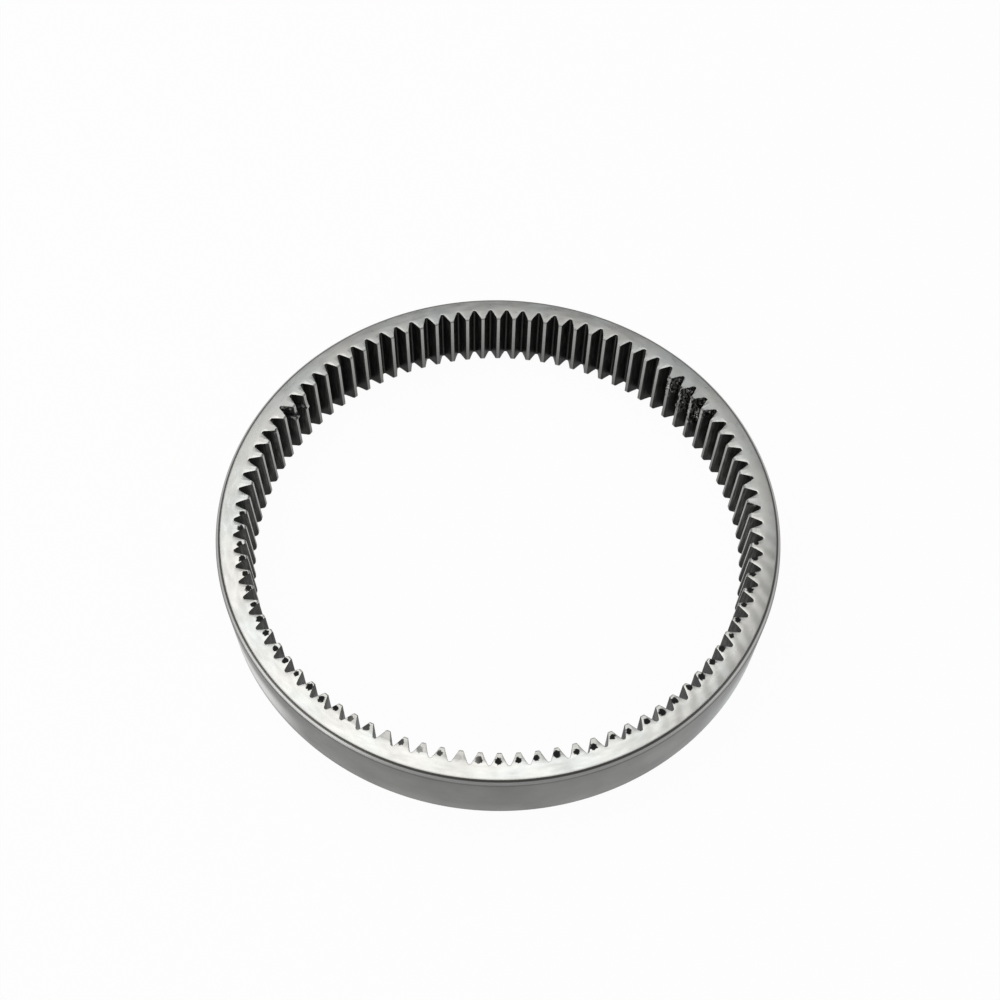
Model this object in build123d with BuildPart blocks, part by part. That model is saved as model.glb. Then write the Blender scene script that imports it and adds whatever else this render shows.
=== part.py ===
from build123d import *

import os
from math import acos, cos, pi, radians, sin, tan

# Internal ring gear: one steel ring, plain outside, with straight teeth on the inside.

# Driving dimensions, in millimetres and degrees
tooth_count = 92
module_size = 2.0
pressure_angle = 25.0
outer_diameter = 202.0
face_width = 26.0
backlash = 0.15
outer_chamfer = 1.5
lower_chamfer = 0.6
tip_chamfer = 0.7
root_fillet = 0.55

# Gear circles. The teeth point inwards, so the tip circle is the smallest one.
pitch_radius = tooth_count * module_size / 2
base_radius = pitch_radius * cos(radians(pressure_angle))
tip_radius = pitch_radius - module_size
root_radius = pitch_radius + 1.25 * module_size
outer_radius = outer_diameter / 2
overcut_radius = tip_radius - 0.5 * module_size

flank_points = 6


def involute_angle(radius):
    """Angle in radians that an involute from the base circle has turned through at a radius."""
    slope = acos(base_radius / radius)
    return tan(slope) - slope


def space_half_angle(radius):
    """Half of the angle that one tooth space covers at a radius."""
    at_pitch = (pi * module_size / 2 + backlash) / (2 * pitch_radius)
    return at_pitch + involute_angle(pitch_radius) - involute_angle(radius)


def flank_point(radius, side):
    """Point of a tooth space's flank; side is +1 or -1."""
    angle = side * space_half_angle(radius)
    return (radius * cos(angle), radius * sin(angle))


flank_step = (root_radius - overcut_radius) / (flank_points - 1)
flank_radii = [overcut_radius + step * flank_step for step in range(flank_points)]

# One tooth space, centred on the X axis: two involute flanks, joined by the root circle.
with BuildSketch() as tooth_space:
    with BuildLine():
        Spline([flank_point(radius, 1) for radius in flank_radii])
        Spline([flank_point(radius, -1) for radius in flank_radii])
        ThreePointArc(flank_point(root_radius, 1), (root_radius, 0), flank_point(root_radius, -1))
        Line(flank_point(overcut_radius, 1), flank_point(overcut_radius, -1))
    make_face()
    root_corners = tooth_space.vertices().sort_by(Axis.X)[-2:]
    fillet(root_corners, radius=root_fillet)

# Section of the ring: outside circle, tip circle, and the spaces cut out to the root circle.
with BuildSketch() as ring_section:
    Circle(outer_radius)
    Circle(tip_radius, mode=Mode.SUBTRACT)
    with PolarLocations(0, tooth_count):
        add(tooth_space.sketch, mode=Mode.SUBTRACT)

with BuildPart() as ring_gear:
    add(ring_section.sketch)
    extrude(amount=face_width)

    # The blank was turned, so each end of the bore has a small cone across the tooth tips.
    with BuildSketch(Plane.XZ):
        for end, inward in ((0, 1), (face_width, -1)):
            with BuildLine():
                Polyline(
                    (overcut_radius, end),
                    (tip_radius + tip_chamfer, end),
                    (tip_radius, end + inward * tip_chamfer),
                    (overcut_radius, end + inward * tip_chamfer),
                    close=True,
                )
            make_face()
    revolve(axis=Axis.Z, mode=Mode.SUBTRACT)

    # Broken outside corners: a wide one on the upper end, a narrow one underneath.
    rims = ring_gear.edges().filter_by(GeomType.CIRCLE).group_by(SortBy.RADIUS)[-1].sort_by(Axis.Z)
    chamfer(rims[-1], length=outer_chamfer)
    rims = ring_gear.edges().filter_by(GeomType.CIRCLE).group_by(SortBy.RADIUS)[-1].sort_by(Axis.Z)
    chamfer(rims[0], length=lower_chamfer)

ring_gear.part.label = "ring_gear"

os.makedirs("parts", exist_ok=True)
export_step(ring_gear.part, "parts/ring_gear.step")
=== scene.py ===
from math import acos, atan2, cos, degrees, hypot, pi, radians, sin, sqrt, tan

import bmesh
import bpy
from mathutils import Matrix, Vector, noise


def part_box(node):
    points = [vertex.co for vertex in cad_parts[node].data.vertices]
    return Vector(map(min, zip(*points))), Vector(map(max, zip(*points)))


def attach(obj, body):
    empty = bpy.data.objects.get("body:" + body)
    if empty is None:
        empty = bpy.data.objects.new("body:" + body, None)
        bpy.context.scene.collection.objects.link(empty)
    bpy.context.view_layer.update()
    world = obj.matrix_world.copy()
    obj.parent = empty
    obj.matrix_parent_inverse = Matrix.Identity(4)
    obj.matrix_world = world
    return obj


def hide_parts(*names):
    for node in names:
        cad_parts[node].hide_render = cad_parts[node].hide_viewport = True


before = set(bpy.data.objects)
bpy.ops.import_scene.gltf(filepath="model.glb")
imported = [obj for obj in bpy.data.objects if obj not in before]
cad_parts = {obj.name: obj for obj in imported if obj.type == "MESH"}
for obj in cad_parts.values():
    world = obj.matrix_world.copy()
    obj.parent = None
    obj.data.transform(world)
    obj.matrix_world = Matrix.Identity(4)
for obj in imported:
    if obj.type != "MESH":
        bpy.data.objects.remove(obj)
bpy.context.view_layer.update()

ringLow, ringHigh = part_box("ring_gear")
outerRadius = (ringHigh.x - ringLow.x) / 2
ringHeight = ringHigh.z - ringLow.z
print("frame loaded, ring across and high, in mm:", round(outerRadius * 2000, 2), round(ringHeight * 1000, 2))

# Ring gear, in metres and radians
ringShape = {
    "toothCount": 92,
    "moduleSize": 0.002,
    "pressureAngle": radians(25),
    "backlash": 0.00015,
    "rootFillet": 0.00055,
    "upperRound": (0.0007, 0.0007),  # tooth tips at the upper end: rounded inwards and along by this much
    "lowerRound": (0.0011, 0.0019),  # the same at the lower end
    "roundShares": (1, 0.85, 0.65, 0.45, 0.22, 0),  # rows of that quarter round, from its end face
    "upperChamfer": 0.0015,
    "lowerChamfer": 0.0006,
    "brokenEdge": 0.0001,  # tooth edges are stoned by this much
    "rimRound": 0.0006,  # how far the corners of the upper chamfer are blended
    "rimSteps": 4,
    "cornerSteps": 2,
    "endMargin": 0.002,  # flat end face that an outside corner is drawn with
    "flankSteps": 4,
    "filletSteps": 4,
    "rootSteps": 2,
    "landSteps": 2,
    "flankSamples": 400,
    "rowBehindRoots": 0.0006,
    "wallStep": 4,  # tooth outline points to one column of the outside wall
    "wallRows": (0.65, 0.3),
    "midHeights": (0.0045, 0.0088, 0.0128, 0.0168, 0.0200, 0.0228),
    "mergeDistance": 0.000002,
    "sharpAngle": radians(32),
}

toothCount = ringShape["toothCount"]
toothPitch = 2 * pi / toothCount
pitchRadius = toothCount * ringShape["moduleSize"] / 2
baseRadius = pitchRadius * cos(ringShape["pressureAngle"])
tipRadius = pitchRadius - ringShape["moduleSize"]
rootRadius = pitchRadius + 1.25 * ringShape["moduleSize"]
chamferRadius = outerRadius - ringShape["upperChamfer"]  # where the upper chamfer meets the end face

# Zones of the tooth sector, each with its own finish
zones = {"endFace": 0, "outerWall": 1, "toothSpace": 2, "tipLand": 3}


def involuteAngle(radius):
    slope = acos(baseRadius / radius)
    return tan(slope) - slope


def spaceHalfAngle(radius):
    atPitch = (pi * ringShape["moduleSize"] / 2 + ringShape["backlash"]) / (2 * pitchRadius)
    return atPitch + involuteAngle(pitchRadius) - involuteAngle(radius)


def polarPoint(radius, angle):
    return Vector((radius * cos(angle), radius * sin(angle)))


def flankPoint(radius):
    return polarPoint(radius, spaceHalfAngle(radius))


def rootFilletPoints():
    # Circle that touches both the root circle and the flank, found by halving
    fillet, samples = ringShape["rootFillet"], ringShape["flankSamples"]
    radii = [pitchRadius + (rootRadius - pitchRadius) * step / samples for step in range(samples + 1)]
    flank = [flankPoint(radius) for radius in radii]
    low, high = 0.0, spaceHalfAngle(rootRadius - fillet)
    for _ in range(40):
        middle = (low + high) / 2
        centre = polarPoint(rootRadius - fillet, middle)
        if min((point - centre).length for point in flank) > fillet:
            low = middle
        else:
            high = middle
    centre = polarPoint(rootRadius - fillet, low)
    touch = min(range(samples + 1), key=lambda step: (flank[step] - centre).length)
    end = atan2(flank[touch].y - centre.y, flank[touch].x - centre.x)
    steps = ringShape["filletSteps"]
    arc = [centre + polarPoint(fillet, low + (end - low) * step / steps) for step in range(steps)]
    return low, arc, radii[touch]


filletAngle, filletArc, flankTop = rootFilletPoints()


def halfProfile(tip):
    # From the middle of a tooth space to the middle of a tooth, in the space's own frame
    rootSteps, flankSteps, landSteps = ringShape["rootSteps"], ringShape["flankSteps"], ringShape["landSteps"]
    edge = ringShape["brokenEdge"]
    points = [polarPoint(rootRadius, filletAngle * step / rootSteps) for step in range(rootSteps)]
    points += filletArc
    flankRun = tip + edge - flankTop
    points += [flankPoint(flankTop + flankRun * step / flankSteps) for step in range(flankSteps + 1)]
    corner = spaceHalfAngle(tip)
    points.append(polarPoint(tip + edge * 0.3, corner + edge * 0.3 / tip))
    landStart = corner + edge / tip
    landRun = toothPitch / 2 - landStart
    points += [polarPoint(tip, landStart + landRun * step / landSteps) for step in range(landSteps + 1)]
    return points


def sectorProfile(tip, inset):
    # One whole tooth from space to space, centred on +X; inset moves the outline into the steel
    turned = [(hypot(*point), atan2(point.y, point.x) - toothPitch / 2) for point in halfProfile(tip)]
    outline = turned + [(radius, -angle) for radius, angle in reversed(turned[:-1])]
    points = [polarPoint(radius, angle) for radius, angle in outline]
    if inset == 0:
        return points
    beyond = toothPitch / 2 + 0.001
    padded = [polarPoint(rootRadius, -beyond)] + points + [polarPoint(rootRadius, beyond)]
    moved = []
    for before, point, after in zip(padded, points, padded[2:]):
        along = (after - before).normalized()
        moved.append(point + Vector((along.y, -along.x)) * inset)
    # The sector still has to end exactly on its two radial borders
    moved[0] = polarPoint(rootRadius + inset, -toothPitch / 2)
    moved[-1] = polarPoint(rootRadius + inset, toothPitch / 2)
    return moved


def roundedEnd(inwards, along):
    # Heights, tip radii and insets from an end face to where the full tooth starts
    edge = ringShape["brokenEdge"]
    rows = []
    for share in ringShape["roundShares"]:
        angle = radians(90 * share)
        height = along * (1 - sin(angle))
        inset = edge - sqrt(edge ** 2 - (edge - height) ** 2) if height < edge else 0
        rows.append((height, tipRadius + inwards * (1 - cos(angle)), inset))
    return rows


def blendCorner(before, corner, after, reach, steps):
    # Points of a smooth bend that leaves and joins the two straight sides
    start = corner + (before - corner).normalized() * reach
    end = corner + (after - corner).normalized() * reach
    points = []
    for step in range(steps + 1):
        share = step / steps
        points.append(start * (1 - share) ** 2 + corner * 2 * share * (1 - share) + end * share ** 2)
    return points


def outerOutline():
    # Radius and height down the outside, with each corner blended
    lower, margin = ringShape["lowerChamfer"], ringShape["endMargin"]
    corners = [
        Vector((chamferRadius - margin, ringHeight)),
        Vector((chamferRadius, ringHeight)),
        Vector((outerRadius, ringHeight - ringShape["upperChamfer"])),
        Vector((outerRadius, lower)),
        Vector((outerRadius - lower, 0)),
        Vector((outerRadius - lower - margin, 0)),
    ]
    rim = (ringShape["rimRound"], ringShape["rimSteps"])
    broken = (ringShape["brokenEdge"], ringShape["cornerSteps"])
    bends = []
    for index, bend in enumerate((rim, rim, broken, broken)):
        bends.append(blendCorner(*corners[index:index + 3], *bend))
    wall = [Vector((outerRadius, ringHeight * share)) for share in ringShape["wallRows"]]
    return bends[0] + bends[1] + wall + bends[2] + bends[3]


def buildToothSector():
    mesh = bmesh.new()
    zone = mesh.faces.layers.int.new("zone")

    def addFace(corners, name):
        face = mesh.faces.new(corners)
        face[zone] = zones[name]
        face.smooth = name != "endFace"

    # The tooth tips are rounded over at both ends, and their flank edges are broken
    levels = roundedEnd(*ringShape["lowerRound"])
    levels += [(height, tipRadius, 0) for height in ringShape["midHeights"]]
    upperRows = reversed(roundedEnd(*ringShape["upperRound"]))
    levels += [(ringHeight - height, tip, inset) for height, tip, inset in upperRows]
    rows = []
    for height, tip, inset in levels:
        rows.append([mesh.verts.new((*point, height)) for point in sectorProfile(tip, inset)])
    count = len(rows[0])
    landFirst = ringShape["rootSteps"] + ringShape["filletSteps"] + ringShape["flankSteps"] + 1
    for lower, upper in zip(rows, rows[1:]):
        for index in range(count - 1):
            onLand = landFirst <= index < count - 1 - landFirst
            corners = (lower[index], lower[index + 1], upper[index + 1], upper[index])
            addFace(corners, "tipLand" if onLand else "toothSpace")

    wallStep = ringShape["wallStep"]
    wallAngles = [atan2(vert.co.y, vert.co.x) for vert in rows[-1][::wallStep]]
    wallRows = []
    for point in outerOutline():
        wallRows.append([mesh.verts.new((*polarPoint(point.x, angle), point.y)) for angle in wallAngles])
    for upper, lower in zip(wallRows, wallRows[1:]):
        for index in range(len(upper) - 1):
            addFace((upper[index], upper[index + 1], lower[index + 1], lower[index]), "outerWall")

    # Flat end faces: one close row behind the tooth roots, then on to the outside edge
    backRadius = rootRadius + ringShape["rowBehindRoots"]
    for toothRow, wallRow, height in ((rows[-1], wallRows[0], ringHeight), (rows[0], wallRows[-1], 0)):
        angles = [atan2(vert.co.y, vert.co.x) for vert in toothRow]
        back = [mesh.verts.new((*polarPoint(backRadius, angle), height)) for angle in angles]
        for index in range(count - 1):
            addFace((toothRow[index], toothRow[index + 1], back[index + 1], back[index]), "endFace")
        for index in range(len(wallRow) - 1):
            first = index * wallStep
            addFace((*back[first:first + wallStep + 1], wallRow[index + 1], wallRow[index]), "endFace")
    bmesh.ops.recalc_face_normals(mesh, faces=mesh.faces)
    data = bpy.data.meshes.new("toothSector")
    mesh.to_mesh(data)
    mesh.free()
    sector = bpy.data.objects.new("toothSector", data)
    bpy.context.scene.collection.objects.link(sector)
    return sector


class Finish:
    # A material or a node group under construction
    def __init__(self, tree):
        self.tree = tree

    def fill(self, made, sockets):
        # Each socket takes a link, a number or a colour
        for name, value in sockets.items():
            socket = made.inputs[name]
            if isinstance(value, bpy.types.NodeSocket):
                self.tree.links.new(value, socket)
            elif socket.type == "RGBA":
                socket.default_value = (*value[:3], 1.0)
            else:
                socket.default_value = value

    def node(self, kind, sockets=None, **settings):
        made = self.tree.nodes.new(kind)
        for name, value in settings.items():
            setattr(made, name, value)
        self.fill(made, sockets or {})
        return made

    def math(self, operation, first, second=0.0, clamp=False):
        made = self.node("ShaderNodeMath", {0: first, 1: second}, operation=operation, use_clamp=clamp)
        return made.outputs[0]

    def times(self, first, *others):
        for other in others:
            first = self.math("MULTIPLY", first, other)
        return first

    def ramp(self, value, low, high, toLow=0.0, toHigh=1.0, kind="SMOOTHSTEP"):
        sockets = {"Value": value, "From Min": low, "From Max": high, "To Min": toLow, "To Max": toHigh}
        return self.node("ShaderNodeMapRange", sockets, interpolation_type=kind).outputs[0]

    def window(self, value, rise, full, hold, fall):
        # 1 between full and hold, fading to 0 at rise and fall
        return self.times(self.ramp(value, rise, full), self.ramp(value, hold, fall, 1.0, 0.0))

    def mix(self, share, first, second):
        return self.node("ShaderNodeMix", {0: share, 6: first, 7: second}, data_type="RGBA").outputs[2]

    def vector(self, x=0.0, y=0.0, z=0.0):
        return self.node("ShaderNodeCombineXYZ", {0: x, 1: y, 2: z}).outputs[0]

    def noise(self, where, scale, detail=3.0, roughness=0.5):
        sockets = {"Vector": where, "Scale": scale, "Detail": detail, "Roughness": roughness}
        return self.node("ShaderNodeTexNoise", sockets).outputs[0]

    def bump(self, height, strength, distance):
        sockets = {"Height": height, "Strength": strength, "Distance": distance}
        return self.node("ShaderNodeBump", sockets).outputs[0]

    def group(self, tree, sockets):
        return self.node("ShaderNodeGroup", sockets, node_tree=tree).outputs


socketKinds = {float: "NodeSocketFloat", tuple: "NodeSocketColor", type(None): "NodeSocketVector"}


def startGroup(name, inputs, outputs):
    # Inputs give their usual value, or None for a place; outputs give their kind
    tree = bpy.data.node_groups.new(name, "ShaderNodeTree")
    for label, value in inputs.items():
        socket = tree.interface.new_socket(label, in_out="INPUT", socket_type=socketKinds[type(value)])
        if value is not None:
            socket.default_value = value
    for label, kind in outputs.items():
        tree.interface.new_socket(label, in_out="OUTPUT", socket_type=socketKinds[kind])
    finish = Finish(tree)
    return finish, finish.node("NodeGroupInput").outputs, finish.node("NodeGroupOutput")


def buildRoundTheRing():
    # Angle, radius and height of a point on the ring, and how far round its own tooth it is
    names = ("Angle", "Radius", "Height", "Tooth Number", "Tooth Offset", "Arc Length")
    finish, given, out = startGroup("roundTheRing", {"Object Position": None}, dict.fromkeys(names, float))
    x, y, z = finish.node("ShaderNodeSeparateXYZ", {0: given[0]}).outputs
    angle = finish.math("ARCTAN2", y, x)
    radius = finish.math("SQRT", finish.math("ADD", finish.times(x, x), finish.times(y, y)))
    toothPlace = finish.math("DIVIDE", angle, toothPitch)
    number = finish.math("FLOOR", toothPlace)
    offset = finish.math("SUBTRACT", finish.math("SUBTRACT", toothPlace, number), 0.5)
    values = (angle, radius, z, number, finish.times(offset, toothPitch), finish.times(angle, pitchRadius))
    finish.fill(out, dict(zip(names, values)))
    return finish.tree


def buildToolLay():
    # Fine lines left by a tool that ran along the ring: close together across, long in the run
    inputs = {"Across": 0.0, "Along": 0.0, "Lines Per Metre": 4000.0, "Run Share": 0.01, "Seed": 0.0}
    finish, given, out = startGroup("toolLay", inputs, {"Lines": float, "Cloud": float})
    across = finish.times(given["Across"], given["Lines Per Metre"])
    along = finish.times(given["Along"], given["Lines Per Metre"], given["Run Share"])
    lines = finish.noise(finish.vector(across, along, given["Seed"]), 1.0, 2.0, 0.6)
    wide = finish.vector(finish.times(across, 0.06), finish.times(along, 0.9), given["Seed"])
    finish.fill(out, {"Lines": lines, "Cloud": finish.noise(wide, 1.0, 3.0, 0.55)})
    return finish.tree


toothMarkShape = {
    "size": 0.0012,
    "place": 0.0919,  # radius on which they lie
    "wander": 0.0009,
    "drift": 0.0007,
    "outwardShare": 0.7,  # of the drift
    "ragged": 0.0012,
    "raggedScale": 1300.0,
    "smallest": 0.75,  # single marks differ in size: this share of it, and up to the spread more
    "spread": 0.35,
    "softEdge": (0.8, 1.15),
    "arc": (radians(-179.5), radians(-3)),
    "faintArc": (radians(-122), radians(-118), radians(-94), radians(-91)),
}


def buildToothMarks():
    # Round dark marks on the tooth ends, one to a tooth, over part of the way round
    shape = toothMarkShape
    inputs = {"Angle": 0.0, "Radius": 0.0, "Tooth Number": 0.0, "Tooth Offset": 0.0,
              "Mark Radius": shape["size"], "Place": shape["place"],
              "Wander": shape["wander"], "Drift": shape["drift"]}
    finish, given, out = startGroup("toothMarks", inputs, {"Mark": float})
    chance = finish.node("ShaderNodeTexWhiteNoise", {"W": given["Tooth Number"]}, noise_dimensions="1D")
    first, second, third = finish.node("ShaderNodeSeparateColor", {0: chance.outputs["Color"]}).outputs
    sideways = finish.times(finish.math("SUBTRACT", first, 0.5), given["Wander"])
    inwards = finish.times(finish.math("SUBTRACT", second, 0.5), given["Wander"])
    # At the front they lie left of the middle and nearer the root, at the sides a little anticlockwise of it
    lean = finish.math("COSINE", finish.times(given["Angle"], 2.0))
    drift = finish.times(lean, given["Drift"])
    outwards = finish.times(finish.math("SUBTRACT", 1.0, lean), given["Drift"], shape["outwardShare"])
    across = finish.math("ADD", finish.times(given["Tooth Offset"], pitchRadius), sideways)
    across = finish.math("SUBTRACT", across, drift)
    depth = finish.math("ADD", finish.math("SUBTRACT", given["Radius"], given["Place"]), inwards)
    depth = finish.math("SUBTRACT", depth, outwards)
    squares = finish.math("ADD", finish.times(across, across), finish.times(depth, depth))
    ragged = finish.noise(finish.vector(across, depth, given["Tooth Number"]), shape["raggedScale"], 1.0)
    ragged = finish.times(finish.math("SUBTRACT", ragged, 0.5), shape["ragged"])
    away = finish.math("ADD", finish.math("SQRT", squares), ragged)
    share = finish.math("ADD", finish.times(third, shape["spread"]), shape["smallest"])
    size = finish.times(given["Mark Radius"], share)
    spot = finish.ramp(finish.math("DIVIDE", away, size), *shape["softEdge"], 1.0, 0.0)
    start, end = shape["arc"]
    after = finish.math("GREATER_THAN", given["Angle"], start)
    before = finish.math("LESS_THAN", given["Angle"], end)
    # Several are faint or missing just left of the front
    faint = finish.window(given["Angle"], *shape["faintArc"])
    faint = finish.times(faint, finish.ramp(second, 0.3, 0.9, 1.0, 0.2))
    finish.fill(out, {"Mark": finish.times(after, before, spot, finish.math("SUBTRACT", 1.0, faint))})
    return finish.tree


tornMetalShape = {
    "coarseNoise": (420.0, 2.0, 0.6),
    "fineNoise": (1500.0, 2.0, 0.6),
    "specks": (0.56, 0.64),  # of the coarse noise, from no speck to a full one
    "pits": (0.38, 0.45),  # the same from a full pit to none
}


def buildTornMetal():
    # Bright specks and black pits where the steel is torn
    shape = tornMetalShape
    inputs = {"Object Position": None, "Torn": 0.0, "Clean Colour": (0.1, 0.1, 0.1, 1.0),
              "Torn Colour": (0.6, 0.6, 0.58, 1.0), "Pit Colour": (0.01, 0.01, 0.01, 1.0)}
    finish, given, out = startGroup("tornMetal", inputs, {"Colour": tuple, "Height": float})
    coarse = finish.noise(given["Object Position"], *shape["coarseNoise"])
    fine = finish.noise(given["Object Position"], *shape["fineNoise"])
    reach = finish.ramp(given["Torn"], 0.0, 0.35)
    speck = finish.times(finish.ramp(coarse, *shape["specks"]), reach, given["Torn"])
    pit = finish.times(finish.ramp(coarse, *shape["pits"], 1.0, 0.0), reach)
    colour = finish.mix(speck, given["Clean Colour"], given["Torn Colour"])
    colour = finish.mix(pit, colour, given["Pit Colour"])
    finish.fill(out, {"Colour": colour, "Height": finish.times(finish.math("ADD", coarse, fine), reach)})
    return finish.tree


roundTheRing = buildRoundTheRing()
toolLay = buildToolLay()
toothMarks = buildToothMarks()
tornMetal = buildTornMetal()


def startMaterial(name):
    material = bpy.data.materials.new(name)
    material.use_nodes = True
    material.node_tree.nodes.clear()
    finish = Finish(material.node_tree)
    shader = finish.node("ShaderNodeBsdfPrincipled")
    finish.node("ShaderNodeOutputMaterial", {"Surface": shader.outputs[0]})
    place = finish.node("ShaderNodeTexCoord").outputs["Object"]
    return material, finish, shader, place, finish.group(roundTheRing, {"Object Position": place})


endFaceFinish = {
    "warm": (0.67, 0.655, 0.63),
    "cool": (0.64, 0.66, 0.645),
    "dull": (0.44, 0.435, 0.415),
    "markBlack": (0.008, 0.008, 0.008),
    "patchArc": (radians(-70), radians(-45), radians(-12), radians(6)),
    "patchSlant": 700.0,
    "patchDrift": 5.0,
    "driftNoise": (80.0, 2.0),
    "patchShare": 0.75,
    "filmArc": (radians(-135), radians(-120), radians(-70), radians(-50)),
    "filmShare": 0.75,
    "filmEdge": (-0.0016, -0.0004),  # from the roots of the teeth
    "cloudNoise": (90.0, 4.0, 0.6),
    "tintNoise": (60.0, 2.0),
    "lay": {"Lines Per Metre": 9000.0, "Run Share": 0.02},
    "roughness": (0.27, 0.38),
    "relief": (0.12, 0.00002),  # strength and height of the tool lines
}


def buildEndFaceMaterial():
    look = endFaceFinish
    material, finish, shader, place, ring = startMaterial("groundEndFace")
    lay = finish.group(toolLay, {"Across": ring["Radius"], "Along": ring["Arc Length"], **look["lay"]})
    # Soft slanting patches, one to a tooth, over part of the rim
    drift = finish.times(finish.noise(place, *look["driftNoise"]), look["patchDrift"])
    slant = finish.times(ring["Radius"], look["patchSlant"])
    slant = finish.math("ADD", finish.times(ring["Angle"], toothCount), slant)
    patch = finish.ramp(finish.math("SINE", finish.math("ADD", slant, drift)), -1.3, 1.3)
    patch = finish.times(patch, finish.window(ring["Angle"], *look["patchArc"]), look["patchShare"])
    cloud = finish.ramp(finish.noise(place, *look["cloudNoise"]), 0.4, 0.7, 0.0, 0.35)
    grain = finish.math("ADD", cloud, finish.ramp(lay["Lines"], 0.3, 0.8, 0.0, 0.2))
    # Tooth ends at the front carry a grey film
    full, none = (rootRadius + reach for reach in look["filmEdge"])
    onTooth = finish.ramp(ring["Radius"], full, none, 1.0, 0.0)
    film = finish.times(onTooth, finish.window(ring["Angle"], *look["filmArc"]), look["filmShare"])
    share = finish.math("ADD", finish.math("ADD", patch, grain), film, clamp=True)
    tint = finish.ramp(finish.noise(place, *look["tintNoise"]), 0.35, 0.65)
    colour = finish.mix(share, finish.mix(tint, look["warm"], look["cool"]), look["dull"])
    names = ("Angle", "Radius", "Tooth Number", "Tooth Offset")
    mark = finish.group(toothMarks, {name: ring[name] for name in names})["Mark"]
    roughness = finish.ramp(lay["Cloud"], 0.3, 0.7, *look["roughness"])
    finish.fill(shader, {
        "Base Color": finish.mix(mark, colour, look["markBlack"]),
        "Metallic": finish.ramp(mark, 0.0, 1.0, 1.0, 0.2),
        "Roughness": finish.math("ADD", roughness, finish.times(mark, 0.5)),
        "Normal": finish.bump(lay["Lines"], *look["relief"]),
    })
    return material


outerWallFinish = {
    "grey": (0.155, 0.155, 0.149),
    "dark": (0.13, 0.13, 0.126),
    # Painted highlight on the upper chamfer, and a painted shade line at its inner edge
    "rimHighlightInner": (0.56, 0.56, 0.545),
    "rimHighlightOuter": (0.42, 0.42, 0.41),
    "edgeShade": (0.095, 0.088, 0.078),
    "edgeLine": (-0.00035, -0.0001, 0.0004, 0.0007),  # from the upper chamfer's inner edge
    "edgeShare": 0.9,
    "outerStart": (0.0006, 0.0009),  # from the same edge
    "rimEnd": (-0.0005, -0.0001),  # from the outside of the ring
    # Painted highlights on the wall at the left and at the right
    "leftHighlight": (0.66, 0.66, 0.65),
    "leftArc": (radians(-178), radians(-152), radians(-142), radians(-126)),
    "leftHeights": (0.0, 0.006, 0.010, 0.020),
    "rightHighlight": (0.37, 0.39, 0.395),
    "rightArc": (radians(-50), radians(-32), radians(-26), radians(-10)),
    "rightHeights": (0.006, 0.020),
    "filmNoise": (45.0, 4.0, 0.55),
    "lay": {"Lines Per Metre": 5000.0, "Run Share": 0.004, "Seed": 3.0},
    "metallic": 0.92,
    "roughness": (0.36, 0.42),
    "relief": (0.15, 0.00002),
}


def buildOuterWallMaterial():
    look = outerWallFinish
    material, finish, shader, place, ring = startMaterial("turnedOuterWall")
    lay = finish.group(toolLay, {"Across": ring["Height"], "Along": ring["Arc Length"], **look["lay"]})
    film = finish.noise(place, *look["filmNoise"])
    lines = finish.ramp(lay["Lines"], 0.35, 0.75, 0.0, 0.15)
    share = finish.math("ADD", finish.ramp(film, 0.35, 0.65, 0.0, 0.8), lines, clamp=True)
    colour = finish.mix(share, look["grey"], look["dark"])
    # Two painted highlights that brighten the wall at the left and at the right, standing in for lamp light
    left = finish.window(ring["Angle"], *look["leftArc"])
    left = finish.times(left, finish.window(ring["Height"], *look["leftHeights"]))
    colour = finish.mix(left, colour, look["leftHighlight"])
    right = finish.window(ring["Angle"], *look["rightArc"])
    right = finish.times(right, finish.ramp(ring["Height"], *look["rightHeights"], 1.0, 0.0))
    colour = finish.mix(right, colour, look["rightHighlight"])
    # Painted highlight: the upper chamfer is painted brighter, with a thin painted shade line where it leaves
    # the end face
    onTop = finish.math("GREATER_THAN", ring["Height"], ringHeight * 0.5)
    onRim = finish.ramp(ring["Radius"], *(outerRadius + reach for reach in look["rimEnd"]), 1.0, 0.0)
    outer = finish.ramp(ring["Radius"], *(chamferRadius + reach for reach in look["outerStart"]))
    rimHighlight = finish.mix(outer, look["rimHighlightInner"], look["rimHighlightOuter"])
    colour = finish.mix(finish.times(onRim, onTop), colour, rimHighlight)
    line = finish.window(ring["Radius"], *(chamferRadius + reach for reach in look["edgeLine"]))
    finish.fill(shader, {
        "Base Color": finish.mix(finish.times(line, onTop, look["edgeShare"]), colour, look["edgeShade"]),
        "Metallic": look["metallic"],
        "Roughness": finish.ramp(film, 0.3, 0.7, *look["roughness"]),
        "Normal": finish.bump(lay["Lines"], *look["relief"]),
    })
    return material


toothSpaceFinish = {
    # Dark colours: partly the oiled steel, partly painted shade of the deep spaces
    "black": (0.028, 0.03, 0.027),
    "grey": (0.10, 0.102, 0.096),
    "shadeBlack": (0.014, 0.015, 0.013),
    "grazing": (0.55, 0.55, 0.55),
    "rootShade": (0.0912, 0.0945, 0.0, 0.55),  # radii, and how strong the painted shade is at each
    "lowShade": (0.001, 0.011, 0.8, 0.0),  # the same for heights
    "lay": {"Lines Per Metre": 4000.0, "Run Share": 0.03, "Seed": 7.0},
    "metallic": 0.7,
    "specular": 0.3,
    "roughness": (0.3, 0.45),
    "relief": (0.2, 0.00003),
    "tornRelief": 6.0,  # torn metal stands out this much more than the tool lines
}


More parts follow.
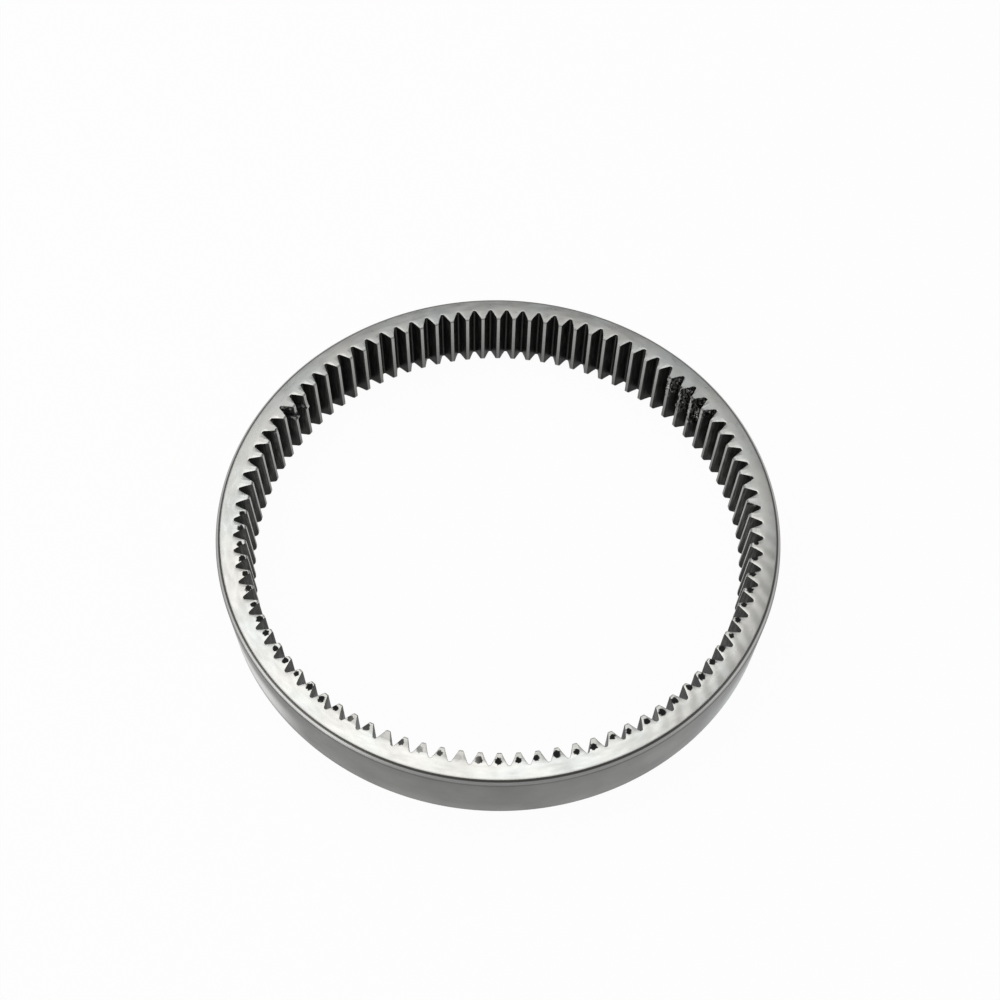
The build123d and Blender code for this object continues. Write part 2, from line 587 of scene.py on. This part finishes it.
def buildToothSpaceMaterial():
    look = toothSpaceFinish
    material, finish, shader, place, ring = startMaterial("oiledShadedToothSpace")
    lay = finish.group(toolLay, {"Across": ring["Arc Length"], "Along": ring["Height"], **look["lay"]})
    # The dark base is partly the oiled steel and partly painted shade of the deep spaces
    colour = finish.mix(finish.ramp(lay["Lines"], 0.35, 0.75), look["black"], look["grey"])
    # Painted shade: darker near the roots and towards the lower ends, where the deep spaces are shaded
    nearRoot = finish.ramp(ring["Radius"], *look["rootShade"])
    low = finish.ramp(ring["Height"], *look["lowShade"])
    colour = finish.mix(finish.math("MAXIMUM", nearRoot, low), colour, look["shadeBlack"])
    torn = finish.node("ShaderNodeAttribute", attribute_name="torn").outputs["Fac"]
    wear = finish.group(tornMetal, {"Object Position": place, "Torn": torn, "Clean Colour": colour})
    relief = finish.math("ADD", lay["Lines"], finish.times(wear["Height"], look["tornRelief"]))
    finish.fill(shader, {
        "Base Color": wear["Colour"],
        "Metallic": look["metallic"],
        "Specular IOR Level": look["specular"],
        "Specular Tint": look["grazing"],
        "Roughness": finish.ramp(lay["Cloud"], 0.3, 0.7, *look["roughness"]),
        "Normal": finish.bump(relief, *look["relief"]),
    })
    return material


tipLandFinish = {
    # Painted shade: the tip lands go from light at the top to dark at the bottom
    "light": (0.36, 0.36, 0.35),
    "dark": (0.13, 0.13, 0.125),
    # Painted highlight on the upper rounding of the teeth at the front
    "rounding": (0.67, 0.655, 0.63),
    "roundingStart": (-0.0009, -0.0004),  # from the upper end face
    "lay": {"Lines Per Metre": 3000.0, "Run Share": 0.1, "Seed": 5.0},
    "metallic": 0.95,
    "roughness": (0.3, 0.42),
    "relief": (0.1, 0.00002),
    "tornRelief": 6.0,
}


def buildTipLandMaterial():
    look = tipLandFinish
    material, finish, shader, place, ring = startMaterial("boredTipLand")
    lay = finish.group(toolLay, {"Across": ring["Height"], "Along": ring["Arc Length"], **look["lay"]})
    # Painted shade: darker downwards; a painted highlight on the upper rounding of the teeth at the front
    down = finish.ramp(ring["Height"], 0.0, ringHeight, 1.0, 0.0, "LINEAR")
    share = finish.math("ADD", down, finish.ramp(lay["Lines"], 0.3, 0.8, -0.1, 0.15), clamp=True)
    colour = finish.mix(share, look["light"], look["dark"])
    # Painted highlight on the upper rounding, at the front only
    onRounding = finish.ramp(ring["Height"], *(ringHeight + reach for reach in look["roundingStart"]))
    atFront = finish.ramp(finish.math("SINE", ring["Angle"]), -0.6, -0.2, 1.0, 0.0)
    colour = finish.mix(finish.times(onRounding, atFront), colour, look["rounding"])
    torn = finish.node("ShaderNodeAttribute", attribute_name="torn").outputs["Fac"]
    wear = finish.group(tornMetal, {"Object Position": place, "Torn": torn, "Clean Colour": colour})
    relief = finish.math("ADD", lay["Lines"], finish.times(wear["Height"], look["tornRelief"]))
    finish.fill(shader, {
        "Base Color": wear["Colour"],
        "Metallic": look["metallic"],
        "Roughness": finish.ramp(lay["Cloud"], 0.3, 0.7, *look["roughness"]),
        "Normal": finish.bump(relief, *look["relief"]),
    })
    return material


finishes = {
    "endFace": buildEndFaceMaterial(),
    "outerWall": buildOuterWallMaterial(),
    "toothSpace": buildToothSpaceMaterial(),
    "tipLand": buildTipLandMaterial(),
}
print("steel finishes built")


def buildRingTree():
    # Turns one tooth sector into the whole ring, then gives every zone its finish
    tree = bpy.data.node_groups.new("teethRoundTheBore", "GeometryNodeTree")
    inputs = {"Tooth Sector": "Geometry", "Tooth Count": "Int", "Merge Distance": "Float"}
    inputs.update(dict.fromkeys(finishes, "Material"))
    for name, kind in inputs.items():
        tree.interface.new_socket(name, in_out="INPUT", socket_type="NodeSocket" + kind)
    tree.interface.new_socket("Ring", in_out="OUTPUT", socket_type="NodeSocketGeometry")
    work = Finish(tree)
    given = work.node("NodeGroupInput").outputs
    spots = work.node("GeometryNodePoints", {"Count": given["Tooth Count"]}).outputs[0]
    number = work.node("GeometryNodeInputIndex").outputs[0]
    turn = work.times(work.math("ADD", number, 0.5), work.math("DIVIDE", 2 * pi, given["Tooth Count"]))
    placing = {"Points": spots, "Instance": given["Tooth Sector"], "Rotation": work.vector(0.0, 0.0, turn)}
    placed = work.node("GeometryNodeInstanceOnPoints", placing).outputs[0]
    whole = work.node("GeometryNodeRealizeInstances", {"Geometry": placed}).outputs[0]
    merging = {"Geometry": whole, "Distance": given["Merge Distance"]}
    ring = work.node("GeometryNodeMergeByDistance", merging).outputs[0]
    zone = work.node("GeometryNodeInputNamedAttribute", {"Name": "zone"}, data_type="INT").outputs[0]
    for name, index in zones.items():
        here = work.node("FunctionNodeCompare", {2: zone, 3: index}, data_type="INT", operation="EQUAL")
        painting = {"Geometry": ring, "Selection": here.outputs[0], "Material": given[name]}
        ring = work.node("GeometryNodeSetMaterial", painting).outputs[0]
    work.node("NodeGroupOutput", {0: ring})
    return tree


def wornPlace(angle, reach, low, high, depth, bright, lift=0.0):
    # Angle and half reach in degrees, heights and depth of its lumps in metres, share of bright torn metal,
    # and how far the metal is pushed out towards the axis
    return dict(angle=angle, reach=reach, low=low, high=high, depth=depth, bright=bright, lift=lift)


wornPlaces = (
    wornPlace(44.3, 1.7, 0.0150, 0.0262, 0.0013, 0.7),
    wornPlace(40.2, 1.8, 0.0090, 0.0262, 0.0013, 0.8),
    wornPlace(36.0, 1.8, 0.0085, 0.0262, 0.0014, 1.0),
    wornPlace(32.4, 1.1, 0.0215, 0.0262, 0.0011, 0.5),
    wornPlace(150.6, 1.9, 0.0186, 0.0210, 0.0006, 1.0, 0.0013),
    wornPlace(146.9, 1.9, 0.0180, 0.0202, 0.0006, 1.0, 0.0011),
    wornPlace(152.6, 1.5, 0.0232, 0.0262, 0.0012, 0.8),
    wornPlace(158.6, 0.9, 0.0246, 0.0262, 0.0009, 0.3),
    wornPlace(11.6, 0.9, 0.0240, 0.0262, 0.0010, 0.3),
    wornPlace(4.7, 0.9, 0.0244, 0.0262, 0.0009, 0.3),
)
wearShape = {
    "lumpSize": 0.0013,
    "cuts": 3,
    "edgeGap": 0.00002,
    "steepness": 2.2,
    "endSteepness": 1.6,
    "behindRoots": 0.0004,  # nothing is worn further out than this
    "seed": Vector((3.1, 7.7, 1.3)),
}


def wearAt(point, place):
    # 1 in the middle of a worn place, 0 at its border
    across = (degrees(atan2(point.y, point.x)) - place["angle"] + 180) % 360 - 180
    sideways = max(0.0, 1 - abs(across) / place["reach"])
    middle, half = (place["low"] + place["high"]) / 2, (place["high"] - place["low"]) / 2
    upwards = max(0.0, 1 - abs(point.z - middle) / half)
    if place["high"] > ringHeight:  # reaches the end face, where it is strongest
        rise = (point.z - place["low"]) / (ringHeight - place["low"])
        upwards = max(0.0, min(1.0, rise * wearShape["endSteepness"]))
    steepness = wearShape["steepness"]
    return min(1.0, sideways * steepness) * min(1.0, upwards * steepness)


def wearTeeth(mesh):
    # Chewed and torn metal in a few tooth spaces: finer mesh there, then lumps and pits
    zone = mesh.faces.layers.int["zone"]
    torn = mesh.verts.layers.float.new("torn")
    inner = (zones["toothSpace"], zones["tipLand"])
    for place in wornPlaces:
        hit = [face for face in mesh.faces
               if face[zone] in inner and wearAt(face.calc_center_median(), place) > 0]
        edges = list({edge for face in hit for edge in face.edges})
        bmesh.ops.subdivide_edges(mesh, edges=edges, cuts=wearShape["cuts"], use_grid_fill=True)
    mesh.normal_update()
    gap = wearShape["edgeGap"]
    for vert in mesh.verts:
        if vert.co.xy.length > rootRadius + wearShape["behindRoots"]:
            continue
        worst = max(wornPlaces, key=lambda place: wearAt(vert.co, place))
        amount = wearAt(vert.co, worst)
        if amount == 0:
            continue
        onEnd = vert.co.z > ringHeight - gap / 2
        where = vert.co / wearShape["lumpSize"] + wearShape["seed"]
        lump = noise.noise(where) * 0.9 + noise.noise(where * 2.3) * 0.6
        vert.co += vert.normal * (lump * worst["depth"] * amount)
        vert.co.xy -= vert.co.xy.normalized() * (worst["lift"] * amount)
        # The end face stays flat, only its outline is eaten away
        vert.co.z = ringHeight if onEnd else min(vert.co.z, ringHeight - gap)
        vert[torn] = amount * worst["bright"]
    bmesh.ops.recalc_face_normals(mesh, faces=mesh.faces)


def buildRing():
    sector = buildToothSector()
    tree = buildRingTree()
    modifier = sector.modifiers.new("teethRoundTheBore", "NODES")
    modifier.node_group = tree
    identifiers = {item.name: item.identifier for item in tree.interface.items_tree if item.in_out == "INPUT"}
    modifier[identifiers["Tooth Count"]] = toothCount
    modifier[identifiers["Merge Distance"]] = ringShape["mergeDistance"]
    for name, material in finishes.items():
        modifier[identifiers[name]] = material
    evaluated = sector.evaluated_get(bpy.context.evaluated_depsgraph_get())
    data = bpy.data.meshes.new_from_object(evaluated)
    sector.modifiers.clear()
    bpy.data.objects.remove(sector)
    mesh = bmesh.new()
    mesh.from_mesh(data)
    bmesh.ops.recalc_face_normals(mesh, faces=mesh.faces)
    wearTeeth(mesh)
    loose = [edge for edge in mesh.edges if len(edge.link_faces) != 2]
    print("ring mesh:", len(mesh.faces), "faces,", len(loose), "open edges")
    mesh.to_mesh(data)
    mesh.free()
    data.set_sharp_from_angle(angle=ringShape["sharpAngle"])
    ring = bpy.data.objects.new("ring_gear_finished", data)
    bpy.context.scene.collection.objects.link(ring)
    return ring


ring = buildRing()
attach(ring, "root")
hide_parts("ring_gear")
print("ring built, triangles:", sum(len(face.vertices) - 2 for face in ring.data.polygons))

# Studio: floor with an upturned border, soft lamps and camera
studio = {
    "floorColour": (0.97, 0.97, 0.965),
    "floorShown": 0.96,  # share of plain white in what is seen of the floor
    "floorRadius": 4.0,
    "floorGap": 0.00005,
    "cove": (4.8, 0.95),  # radius and height of the floor's upturned border
    "segments": 96,
    "worldColour": (0.95, 0.98, 1.0),
    "worldStrength": 0.26,
}
lamps = (  # name, place, target, size, level, colour
    ("overheadBox", (-0.27, 0.215, 1.10), (-0.27, 0.215, 0), (1.22, 1.13), 1.43, (1.0, 0.995, 0.98)),
    ("leftBox", (-1.15, -0.62, 0.34), (0, 0, 0.02), (1.1, 0.6), 1.8, (1.0, 1.0, 0.99)),
    ("rightBox", (1.25, -0.30, 0.40), (0, 0, 0.02), (0.6, 0.5), 1.0, (0.95, 0.98, 1.0)),
)


def buildFloorMaterial():
    # Diffuse for the light that falls on it, plain white for what is seen or mirrored
    material = bpy.data.materials.new("paleFloor")
    material.use_nodes = True
    material.node_tree.nodes.clear()
    finish = Finish(material.node_tree)
    plain = finish.node("ShaderNodeBsdfDiffuse", {"Color": studio["floorColour"]}).outputs[0]
    white = finish.node("ShaderNodeEmission", {"Color": (1, 1, 1), "Strength": 1.0}).outputs[0]
    rays = finish.node("ShaderNodeLightPath").outputs
    direct = finish.math("ADD", rays["Is Camera Ray"], rays["Is Glossy Ray"])
    seen = finish.math("ADD", direct, rays["Is Transmission Ray"], clamp=True)
    share = finish.times(seen, studio["floorShown"])
    mixed = finish.node("ShaderNodeMixShader", {0: share, 1: plain, 2: white}).outputs[0]
    finish.node("ShaderNodeOutputMaterial", {"Surface": mixed})
    return material


def buildFloor():
    mesh = bmesh.new()
    coveRadius, coveHeight = studio["cove"]
    segments = studio["segments"]
    floorRadius = studio["floorRadius"]
    inner = bmesh.ops.create_circle(mesh, cap_ends=True, radius=floorRadius, segments=segments)["verts"]
    outer = bmesh.ops.create_circle(mesh, radius=coveRadius, segments=segments)["verts"]
    for vert in outer:
        vert.co.z = coveHeight
    for index in range(segments):
        mesh.faces.new((inner[index - 1], inner[index], outer[index], outer[index - 1]))
    bmesh.ops.recalc_face_normals(mesh, faces=mesh.faces)
    data = bpy.data.meshes.new("studioFloor")
    mesh.to_mesh(data)
    mesh.free()
    data.materials.append(buildFloorMaterial())
    floor = bpy.data.objects.new("studioFloor", data)
    floor.location.z = -studio["floorGap"]
    bpy.context.scene.collection.objects.link(floor)


def buildLamps():
    for name, place, target, size, level, colour in lamps:
        data = bpy.data.lights.new(name, "AREA")
        data.shape = "RECTANGLE"
        data.size, data.size_y = size
        data.energy = level * size[0] * size[1] * pi  # radiance of the lamp's face is the level
        data.color = colour
        lamp = bpy.data.objects.new(name, data)
        lamp.location = place
        lamp.rotation_euler = (Vector(target) - Vector(place)).to_track_quat("-Z", "Y").to_euler()
        bpy.context.scene.collection.objects.link(lamp)


def buildWorld():
    world = bpy.data.worlds.new("paleRoom")
    world.use_nodes = True
    bpy.context.scene.world = world
    background = world.node_tree.nodes["Background"]
    background.inputs["Color"].default_value = (*studio["worldColour"], 1.0)
    background.inputs["Strength"].default_value = studio["worldStrength"]


cameraShape = {
    "distance": 0.46689,  # from the middle of the upper end face
    "elevation": 1.02367,
    "pitch": 1.01332,
    "yaw": 0.00086,
    "roll": 0.03070,
    "turn": radians(0.4),
    "lens": 46.864,
    "sensor": 36.0,
    "clip": (0.01, 20.0),
}


def buildCamera():
    shape = cameraShape
    elevation, pitch, yaw, roll = (shape[name] for name in ("elevation", "pitch", "yaw", "roll"))
    back, up = shape["distance"] * cos(elevation), shape["distance"] * sin(elevation)
    place = Vector((0, -back, ringHeight + up))
    forward = Vector((sin(yaw) * cos(pitch), cos(yaw) * cos(pitch), -sin(pitch)))
    right = forward.cross(Vector((0, 0, 1))).normalized()
    above = right.cross(forward)
    rolledRight = right * cos(roll) + above * sin(roll)
    rolledUp = above * cos(roll) - right * sin(roll)
    matrix = Matrix.Identity(4)
    for column, axis in enumerate((rolledRight, rolledUp, -forward, place)):
        for row in range(3):
            matrix[row][column] = axis[row]
    data = bpy.data.cameras.new("studioCamera")
    data.lens = shape["lens"]
    data.sensor_width = shape["sensor"]
    data.clip_start, data.clip_end = shape["clip"]
    camera = bpy.data.objects.new("studioCamera", data)
    bpy.context.scene.collection.objects.link(camera)
    camera.matrix_world = Matrix.Rotation(shape["turn"], 4, "Z") @ matrix
    bpy.context.scene.camera = camera


buildFloor()
buildLamps()
buildWorld()
buildCamera()
bpy.context.scene.view_settings.view_transform = "Standard"
print("studio ready")
